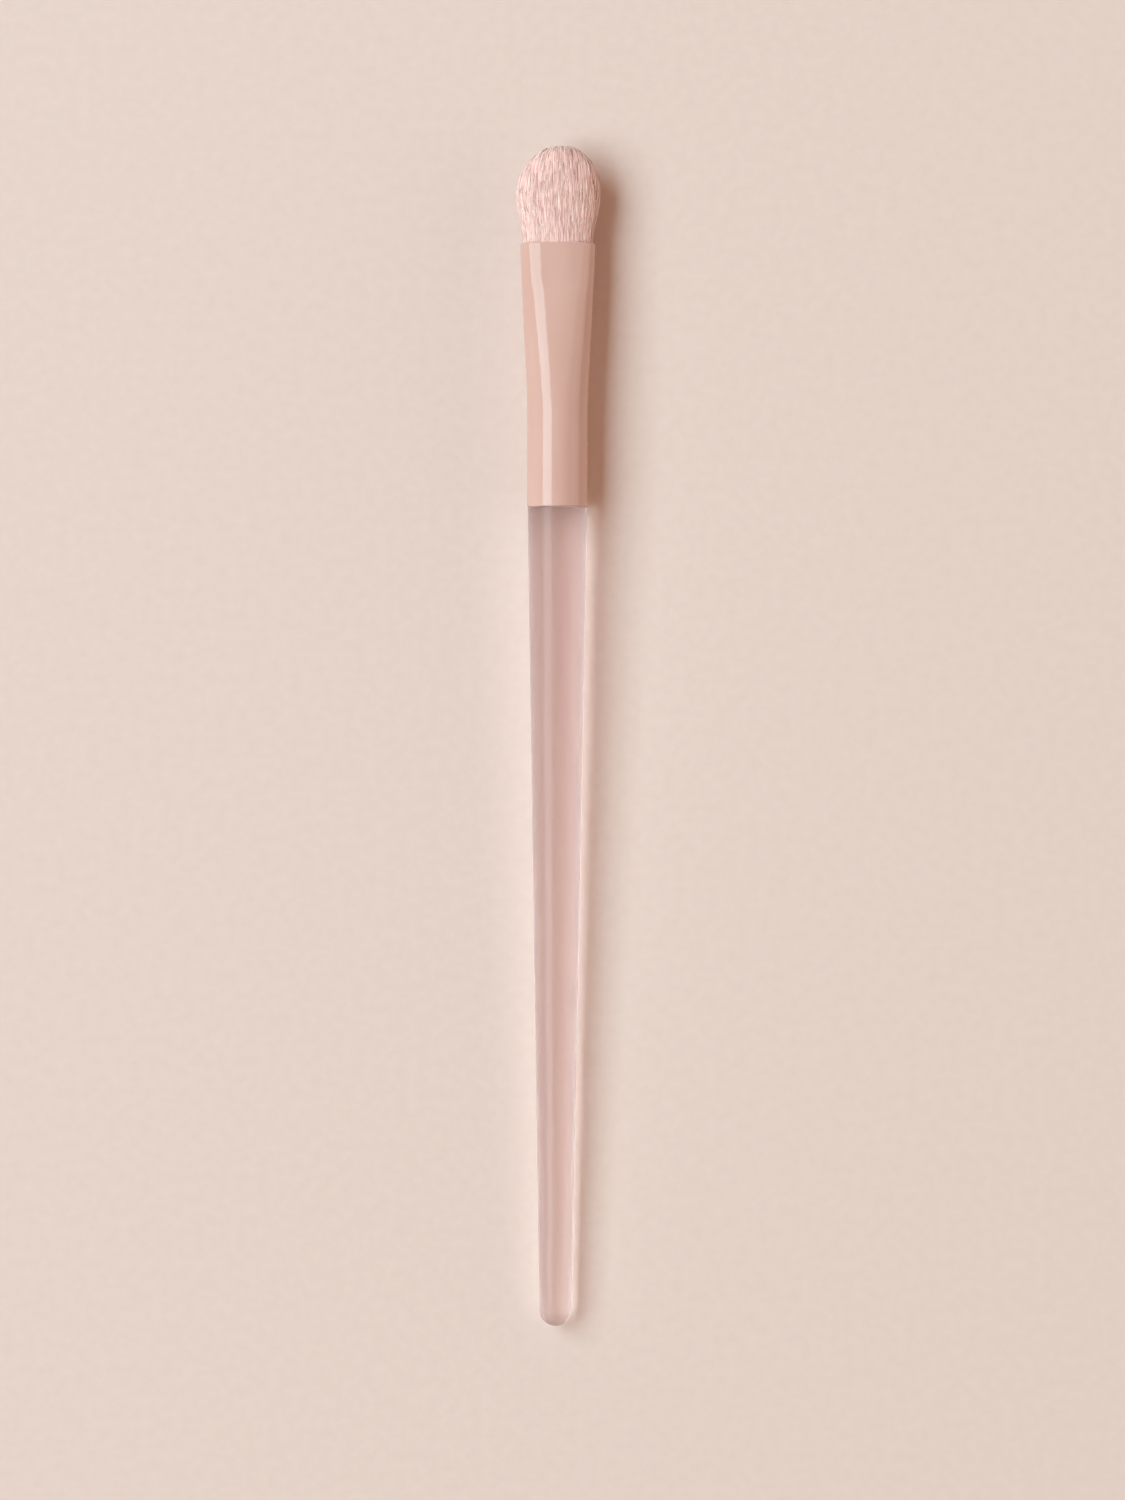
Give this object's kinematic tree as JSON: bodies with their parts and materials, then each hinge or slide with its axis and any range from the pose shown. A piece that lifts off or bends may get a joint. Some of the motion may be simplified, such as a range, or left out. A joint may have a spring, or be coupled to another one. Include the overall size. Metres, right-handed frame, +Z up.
{
  "type": "eyeshadow brush",
  "caption": "Slim cosmetic brush lying flat: clear tapered handle, pressed metal ferrule and a soft domed bristle head for blending eye colour.",
  "frame": {"origin": "centre of the brush's footprint, on the surface that it lies on", "axes": "+Y along the lying brush, towards the bristles; +Z up, out of the upper pressed flat of the ferrule; +X across the flat"},
  "size_m": [0.0112, 0.1572, 0.0083],
  "materials": {
    "acrylic": "clear rose-tinted cast acrylic, polished",
    "lacquered_aluminium": "glossy nude-pink lacquer on drawn aluminium",
    "bristle": "fine soft pale-pink synthetic filament",
    "thread": "waxed binding thread",
    "resin": "cured clear epoxy"
  },
  "bodies": {
    "root": {"handle": "acrylic", "ferrule": "lacquered_aluminium", "bristle_tuft": "bristle", "binding_thread": "thread", "resin_plug": "resin", "tenon_adhesive": "resin"}
  },
  "joints": []
}
